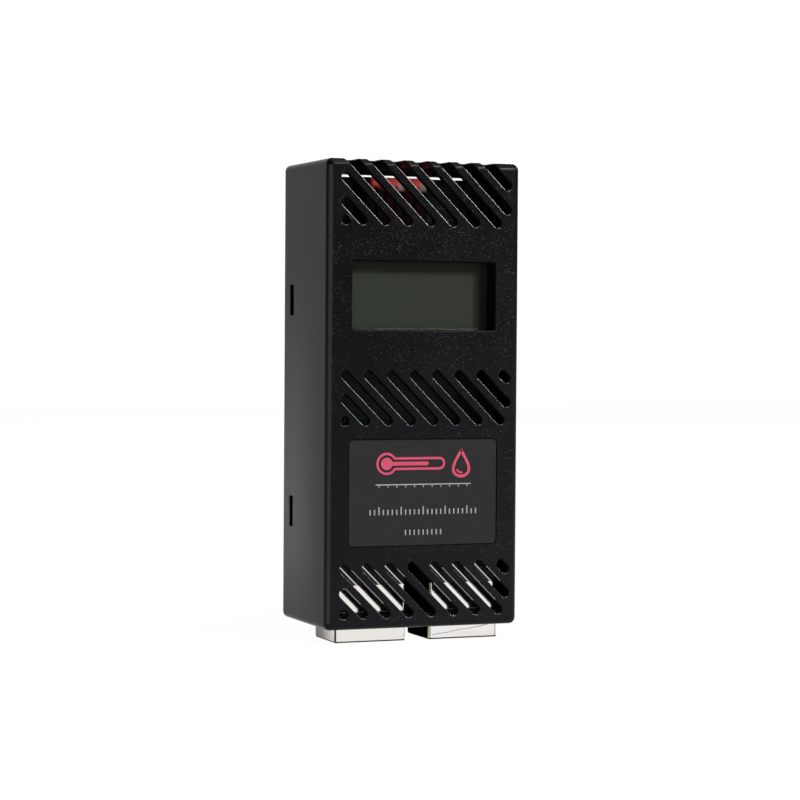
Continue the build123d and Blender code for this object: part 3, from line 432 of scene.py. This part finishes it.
# Sensing parts: the humidity sensor's red moulded case, seen through the top vents, and
# the thermistor's bead dipped in dark epoxy. Light through the vents is painted on the case
# near its top, where it also glows, with two painted highlights, and below that painted shade
# goes from black on the left to a dark red.
shadow_black_red = (0.004, 0.0006, 0.001)
shadow_red = (0.026, 0.0012, 0.004)
lit_red = (0.92, 0.12, 0.115)
highlight_white = (0.62, 0.50, 0.44)
unlit = (0.0, 0.0, 0.0)
(case_left, _, _), (_, _, case_top) = reach("humidity_sensor")
lit_drop = (0.0012, 0.0032)
lit_inset = (0.0015, 0.0031)
shade_inset = (0.0020, 0.0060)
left_highlight = (0.0079, 0.0085, 0.0095, 0.0101)
right_highlight = (0.0129, 0.0135, 0.0149, 0.0155)
highlight_drop = (0.0009, 0.0015, 0.0025, 0.0031)

red_case = Finish("red_case", IOR=1.2, Emission_Strength=1.0)
across, _, up = red_case.place.parts()
streak = red_case.place.noise(260.0, 3.0)
from_left = across - case_left
from_top = case_top - up
ragged_drop = from_top - 0.0016 * (streak - 0.5)
# Painted light near the top, where light falls through the vents.
painted_light_top = (1.0 - ragged_drop.step(*lit_drop)) * from_left.step(*lit_inset)
shaded_red_below = from_left.step(*shade_inset).blend(shadow_black_red, shadow_red)
# Two painted highlights.
painted_highlights = (from_left.band(*left_highlight) + from_left.band(*right_highlight)) * from_top.band(*highlight_drop)
painted_highlights = painted_highlights * (streak > 0.40)
coral = (0.9 * painted_highlights).blend(painted_light_top.blend(shaded_red_below, lit_red), highlight_white)
red_case.set(
    Base_Color=coral,
    Roughness=0.42 + 0.2 * streak,
    Emission_Color=(0.20 * painted_light_top).blend(unlit, coral),
    Normal=red_case.place.noise(2200.0).bump(0.00002, 0.3),
)
red_case.paint("humidity_sensor")

bead = Finish("epoxy_bead", IOR=1.55)
drip = bead.place.noise(500.0)
bead.set(
    Base_Color=drip.blend((0.015, 0.012, 0.012), (0.04, 0.03, 0.03)),
    Roughness=0.15 + 0.15 * drip,
)
bead.paint("thermistor_bead")


# Jack shields: thin steel sheet, bright tin plate, pressed and folded. Rolling leaves faint
# streaks, the folds are dull, the cut lower edge is painted dark as shade, and the right
# shield's front has one long hairline scratch. Painted shade blacks out its side next to the other jack.
(left_side, sheet_front, foot), (_, _, shield_top) = reach("left_jack_shield")
(seam_side, _, _), (right_side, _, _) = reach("right_jack_shield")
housing_foot = -half_height
scratch_start = seam_side + 0.00065
scratch_end = right_side - 0.00215
scratch_low = 0.0009
scratch_rise = 0.0018
rib_end = (0.0060, 0.0066)
right_fold_start = right_side - 0.00115
left_fold_end = seam_side + 0.00095
left_fold_top = 0.0077
side_shade = (-0.0016, 0.0100)

silvery = ((0.97, 0.945, 0.925), (1.0, 0.985, 0.97))
creamy = ((0.93, 0.885, 0.84), (0.99, 0.955, 0.92))
foot_cream = (0.80, 0.74, 0.64)
side_shade_grey = (0.13, 0.127, 0.122)
brassy = (0.52, 0.48, 0.36)
dark_steel_and_shade = (0.06, 0.05, 0.042)
shade_black = (0.004, 0.003, 0.002)

plate = Finish("tin_plate", IOR=1.2)
across, back, up = plate.place.parts()
from_front = back - sheet_front
from_foot = up - foot
on_right_jack = across > 0.0
streaks = plate.place.node("Mapping", None, {"Vector": plate.place, "Scale": (1.0, 1.0, 14.0)})
rolled = streaks.noise(260.0, 4.0)
patch = plate.place.noise(70.0).step(0.45, 0.62)


def folded_corner(edge):
    """Line that runs up a front corner: the distances across and back from it add up to little."""
    off = abs(across - edge) + abs(from_front - 0.0001)
    return 1.0 - off.step(0.00025, 0.00042)


wander = 0.0007 * (plate.place.noise(420.0, 4.0, 0.6) - 0.5)
scratch_slope = scratch_rise / (scratch_end - scratch_start)
scratch_height = scratch_low + scratch_slope * (across - scratch_start)
scratch = (from_foot - scratch_height).line(wander, 0.00003, 0.00009)
scratch = scratch * (across > scratch_start) * (across < scratch_end)
seam = across.line(seam_side + 0.00043, 0.00006, 0.00013)
right_lip = across.line(right_side - 0.00045, 0.00004, 0.00012)
# The lower edge is painted dark as shade.
foot_shadow_edge = from_foot < 0.00032
dull_and_shadow = 0.8 * scratch + folded_corner(left_side + 0.00007) + seam + 0.35 * right_lip + foot_shadow_edge
dull_and_shadow = dull_and_shadow.capped()

# Painted shade: the side facing the other jack, the sheet behind the housing's rib, the fold ends.
facing_side = on_right_jack * (across < seam_side + 0.0003) * (from_front > 0.0004)
behind_rib = (1.0 - from_foot.step(*rib_end)) * (up > housing_foot)
end_folds = on_right_jack * (across < left_fold_end) * (from_foot < left_fold_top)
end_folds = (end_folds + (across > right_fold_start)) * (up > housing_foot + 0.0002)
painted_shade = (facing_side + behind_rib + end_folds).capped()

# Painted shade on the left shield's outer side, darker towards the rear.
outer_side_shade = (across < left_side + 0.00015) * from_front.step(*side_shade)
bright = (across < 0.0).blend(rolled.blend(*silvery), rolled.blend(*creamy))
bright = (0.5 * patch * (from_foot < 0.0014)).blend(bright, foot_cream)
bright = outer_side_shade.blend(bright, side_shade_grey)
bright = folded_corner(seam_side + 0.00007).blend(bright, brassy)
bright = dull_and_shadow.blend(bright, dark_steel_and_shade)
plate.set(
    Base_Color=painted_shade.blend(bright, shade_black),
    Metallic=1.0 - painted_shade,
    Roughness=0.06 + 0.08 * rolled + 0.3 * dull_and_shadow,
    Normal=(rolled - scratch).bump(0.00002, 0.25),
)
plate.give_way(painted_shade, painted_shade.node("BsdfDiffuse", None, {"Color": (*shade_black, 1.0)}))
plate.paint("left_jack_shield", "right_jack_shield")


# Jack bodies: black plastic, pegged into the main board, mottled grey in stripes where it
# stands above the shields. Thin lines of light behind the bottom vents are painted on it and glow.
clean_black = (0.003, 0.003, 0.003)
mottle_grey = (0.15, 0.15, 0.155)
light_white = (0.92, 0.91, 0.92)
line_place = 0.00260
line_top = shield_top + 0.0041
mottle_back = sheet_front + 0.0010

carrier = Finish("jack_plastic", IOR=1.4, Roughness=0.45, Emission_Strength=1.0)
across, back, up = carrier.place.parts()
mottle_noise = carrier.place.noise(1500.0, 4.0, 0.7)
above_shield = (back < mottle_back) * (up > shield_top - 0.0001)
from_line = (across + up - line_place).wrapped(slot_pitch)
# Painted lines of light, which also glow.
painted_light_line = from_line.line(0.0, 0.00009, 0.00020) * above_shield * (up < line_top)
# Mottled grey in stripes beside the lines, above the shields.
mottled_stripes = mottle_noise.step(0.42, 0.66) * above_shield * (from_line < 0.0)
carrier.set(
    Base_Color=painted_light_line.blend(mottled_stripes.blend(clean_black, mottle_grey), light_white),
    Emission_Color=(0.45 * painted_light_line).blend(unlit, (1.0, 1.0, 1.0)),
    Normal=mottle_noise.bump(0.00003, 0.3),
)
carrier.paint("left_jack_body", "right_jack_body")


# Label: a thin printed film stuck into its recess. The real print is replaced by a plain
# one of the same weight: a thermometer and a drop in rose, with pale rules below them.
label_film = Finish("label_film", IOR=1.25)
satin = label_film.place.noise(500.0, 3.0)
label_film.set(
    Base_Color=satin.blend((0.0170, 0.0168, 0.0188), (0.0230, 0.0228, 0.0248)),
    Roughness=0.34 + 0.12 * satin,
    Normal=label_film.place.noise(3000.0).bump(0.00001, 0.3),
)
label_film.paint("label")

ink_thickness = 0.00005
(_, ink_back, _), (_, _, label_top) = reach("label")
ink_front = ink_back - ink_thickness


def loft(rings, closed):
    """Vertices and faces of a skin over rings of points, an array of (ring, point, xyz).

    Each ring is joined to the next one, and the last to the first if closed; otherwise
    the first and the last ring are filled. Faces are turned over if the skin's volume,
    the sum of the tetrahedra between its faces and its middle, comes out negative.
    """
    count, size, _ = rings.shape
    ring = np.arange(count if closed else count - 1)[:, None]
    point = np.arange(size)[None, :]
    after, beside = (ring + 1) % count, (point + 1) % size
    corners = (ring * size + point, after * size + point, after * size + beside, ring * size + beside)
    quads = np.stack(np.broadcast_arrays(*corners), axis=-1).reshape(-1, 4)
    flat = rings.reshape(-1, 3)
    a, b, c, d = (flat[quads[:, n]] - flat.mean(axis=0) for n in range(4))
    volume = (np.cross(a, b) * c).sum() + (np.cross(a, c) * d).sum()
    faces = quads.tolist()
    if not closed:
        faces += [list(range(size))[::-1], list(range((count - 1) * size, count * size))]
    if volume < 0.0:
        faces = [face[::-1] for face in faces]
    return flat, faces


def ribbon(path, width, closed):
    """Rings of a flat strip along a path of (x, z) points in the ink's layer, and closed.

    The strip's two sides lie half its width along the path's normal, which is its
    tangent turned by a right angle; the tangent is the difference of the neighbours.
    """
    if closed:
        tangent = np.roll(path, -1, axis=0) - np.roll(path, 1, axis=0)
    else:
        tangent = np.gradient(path, axis=0)
    tangent /= np.linalg.norm(tangent, axis=1, keepdims=True)
    normal = np.stack((-tangent[:, 1], tangent[:, 0]), axis=1)
    sides = np.stack([path + normal * width * side for side in (0.5, -0.5, -0.5, 0.5)], axis=1)
    layer = np.broadcast_to(np.array([ink_front, ink_front, ink_back, ink_back]), sides.shape[:2])
    return np.stack((sides[..., 0], layer, sides[..., 1]), axis=-1), closed


def slab(outline):
    """Rings of an outline of (x, z) points filled through the ink's layer, which isn't closed."""
    x, z = outline.T
    rings = [np.stack((x, np.full_like(x, y), z), axis=1) for y in (ink_front, ink_back)]
    return np.stack(rings), False


def arc(centre, radius, start, end, count):
    """Points on a circle from one angle to another, in degrees from the right, turning up."""
    angle = np.radians(np.linspace(start, end, count))
    return np.stack((centre[0] + radius * np.cos(angle), centre[1] + radius * np.sin(angle)), axis=1)


def printed_piece(name, shapes, finish):
    """One object of that name out of several lofted shapes, riding on the body, with the finish in its
    material slot.
    """
    vertices, faces = [], []
    for rings, closed in shapes:
        points, sides = loft(rings, closed)
        faces += [[corner + len(vertices) for corner in side] for side in sides]
        vertices += points.tolist()
    mesh = bpy.data.meshes.new(name)
    mesh.from_pydata(vertices, [], faces)
    mesh.materials.append(finish.material)
    piece = bpy.data.objects.new(name, mesh)
    bpy.context.scene.collection.objects.link(piece)
    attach(piece, "root")


def ink(name, thin, full):
    """Printed ink of one colour, thinner in places, with the film's dull surface."""
    finish = Finish(name, IOR=1.4)
    cover = finish.place.noise(900.0, 3.0)
    finish.set(Base_Color=cover.blend(thin, full), Roughness=0.40 + 0.1 * cover)
    return finish


pictogram_up = label_top - 0.0050
glass_width = 0.0005
bulb_centre = (-0.0083, pictogram_up)
bulb_radius = 0.0021
stem_half = 0.0011
stem_end = (0.0036, pictogram_up)
neck = math.degrees(math.asin(stem_half / bulb_radius))
glass_line = np.concatenate(
    (
        arc(bulb_centre, bulb_radius, neck, 360.0 - neck, 60),
        arc(stem_end, stem_half, -90.0, 90.0, 24),
    )
)
column_bulb_radius = 0.0013
column_half = 0.0004
column_end = (0.0008, pictogram_up)
column_neck = 18.0
column = np.concatenate(
    (
        arc(bulb_centre, column_bulb_radius, column_neck, 360.0 - column_neck, 48),
        arc(column_end, column_half, -90.0, 90.0, 16),
    )
)

# The drop's outline: its height follows a cosine, and its width a sine that is held back
# near the tip by a power of the half angle's sine.
drop_centre = 0.0086
drop_half_width = 0.0026
drop_half_height = 0.0028
drop_line_width = 0.0006
glint_radius = 0.0010
glint_width = 0.0004
turn = np.linspace(0.0, 2.0 * np.pi, 72, endpoint=False)
drop_across = drop_centre + drop_half_width * np.sin(turn) * np.sin(turn / 2.0) ** 1.6
drop_line = np.stack((drop_across, pictogram_up + drop_half_height * np.cos(turn)), axis=1)
drop_glint = arc((drop_centre, pictogram_up - glint_radius), glint_radius, 200.0, 290.0, 14)
printed_piece(
    "label_pictograms",
    [
        ribbon(glass_line, glass_width, True),
        slab(column),
        ribbon(drop_line, drop_line_width, True),
        ribbon(drop_glint, glint_width, False),
    ],
    ink("ink_rose", (0.60, 0.060, 0.12), (0.72, 0.085, 0.17)),
)


def bar(x, z, width, height):
    """Filled oblong of ink about its middle, of that width and height."""
    half = np.array([width, height]) / 2.0
    corners = np.array([(-1.0, -1.0), (1.0, -1.0), (1.0, 1.0), (-1.0, 1.0)])
    return slab(corners * half + (x, z))


tick_pitch = 0.001
tick_width = 0.00026
tick_height = 0.0011
longer = 0.0006
rule_up = label_top - 0.0094
rule_length = 0.0216
rule_thickness = 0.00022
rule_tick_width = 0.00018
rule_tick_height = 0.0006
long_scale_up = label_top - 0.0152
short_scale_up = label_top - 0.0195
marks = [bar(0.0, rule_up, rule_length, rule_thickness)]
for n in range(-10, 11, 2):
    hanging_up = rule_up - rule_tick_height / 2.0
    marks.append(bar(tick_pitch * n, hanging_up, rule_tick_width, rule_tick_height))
for n in range(-12, 13):
    extra = longer if n % 5 == 0 else 0.0
    marks.append(bar(tick_pitch * n, long_scale_up + extra / 2.0, tick_width, tick_height + extra))
for n in range(-4, 5):
    marks.append(bar(tick_pitch * n, short_scale_up, tick_width, tick_height))
printed_piece("label_rules", marks, ink("ink_grey", (0.36, 0.36, 0.37), (0.46, 0.46, 0.47)))


# Floor and backdrop: a sheet of white paper under the sensor and another one standing
# behind it. Both are seen as plain white, and the floor keeps a little of the shadow.
def sheet_piece(name, corners, finish):
    """Flat four-cornered sheet."""
    mesh = bpy.data.meshes.new(name)
    mesh.from_pydata(corners, [], [(0, 1, 2, 3)])
    mesh.materials.append(finish.material)
    piece = bpy.data.objects.new(name, mesh)
    bpy.context.scene.collection.objects.link(piece)
    return piece


def paper(name, camera, mirrored, through):
    """White paper that glows for shares of the rays seen straight, in a gloss and through glass."""
    finish = Finish(name, Base_Color=(0.46, 0.46, 0.46), Roughness=0.9, IOR=1.1)
    ray = finish.place.node("LightPath")
    seen = camera * ray.beside("Is Camera Ray") + mirrored * ray.beside("Is Glossy Ray")
    seen = seen + through * ray.beside("Is Transmission Ray")
    finish.give_way(seen, seen.node("Emission", None, {"Strength": 1.05}))
    return finish


side, near, far, tall = 3.0, -1.2, 1.6, 1.2
ground = cad_box[0][2]
floor = sheet_piece(
    "floor",
    [(-side, near, ground), (side, near, ground), (side, far, ground), (-side, far, ground)],
    paper("floor_paper", 0.93, 0.68, 0.93),
)
backdrop = sheet_piece(
    "backdrop",
    [(-side, far, ground), (side, far, ground), (side, far, tall), (-side, far, tall)],
    paper("backdrop_paper", 1.0, 0.66, 1.0),
)


# Lights: a key softbox ahead on the right, a wide one overhead, a narrow one from the right
# for the rims, weak ones from the front and the rear, and a dim room that is seen as white.
def softbox(name, towards, distance, width, level):
    """Square light in that direction from the sensor. A white sheet facing it alone renders at level."""
    light = bpy.data.lights.new(name, "AREA")
    light.shape = "SQUARE"
    light.size = width
    light.energy = level * math.pi**2 * distance**2
    lamp = bpy.data.objects.new(name, light)
    direction = Vector(towards).normalized()
    turned = direction.to_track_quat("Z", "Y").to_matrix().to_4x4()
    lamp.matrix_world = Matrix.Translation(direction * distance) @ turned
    bpy.context.scene.collection.objects.link(lamp)


softbox("key_softbox", (0.42, -0.79, 0.44), 1.4, 0.35, 0.62)
softbox("overhead_softbox", (0.1, -0.30, 0.95), 1.3, 0.7, 0.45)
softbox("rim_strip", (0.835, -0.196, 0.516), 1.2, 0.24, 0.34)
softbox("front_fill", (-0.17, -0.97, 0.15), 1.5, 0.25, 0.10)
softbox("rear_fill", (0.45, 0.85, 0.20), 1.3, 0.40, 0.25)

room_light = 0.04
world = bpy.data.worlds.new("dim_room")
bpy.context.scene.world = world
world.use_nodes = True
room = world.node_tree.nodes["Background"]
room.inputs["Color"].default_value = (1.0, 1.0, 1.0, 1.0)
ray = Wire(room.outputs[0]).node("LightPath")
seen = ray.beside("Is Camera Ray") + ray.beside("Is Transmission Ray") + 0.06 * ray.beside("Is Glossy Ray")
strength = room_light + (1.0 - room_light) * seen
world.node_tree.links.new(strength.socket, room.inputs["Strength"])


# Camera: where the photograph was taken from, half a metre away on the left, with a long
# lens. Its focal length in pixels of the picture comes from a fit to the housing's corners.
def look(yaw, pitch, roll):
    """Camera matrix of three angles in degrees: right, up and back as its columns."""
    yaw, pitch, roll = (math.radians(angle) for angle in (yaw, pitch, roll))
    ahead = Vector((math.sin(yaw) * math.cos(pitch), math.cos(yaw) * math.cos(pitch), math.sin(pitch)))
    right = Vector((math.cos(yaw), -math.sin(yaw), 0.0))
    up = right.cross(ahead)
    turned_right = math.cos(roll) * right + math.sin(roll) * up
    turned_up = -math.sin(roll) * right + math.cos(roll) * up
    return Matrix((turned_right, turned_up, -ahead)).transposed().to_4x4()


picture_width = 800.0
focal_pixels = 2416.0
sensor_width = 36.0
lens = bpy.data.cameras.new("photo_camera")
lens.sensor_width = sensor_width
lens.lens = sensor_width * focal_pixels / picture_width
lens.clip_start = 0.01
camera = bpy.data.objects.new("photo_camera", lens)
camera.matrix_world = Matrix.Translation((-0.1921, -0.4982, 0.01234)) @ look(21.615, -1.521, 0.380)
bpy.context.scene.collection.objects.link(camera)
bpy.context.scene.camera = camera
bpy.context.scene.view_settings.view_transform = "Standard"
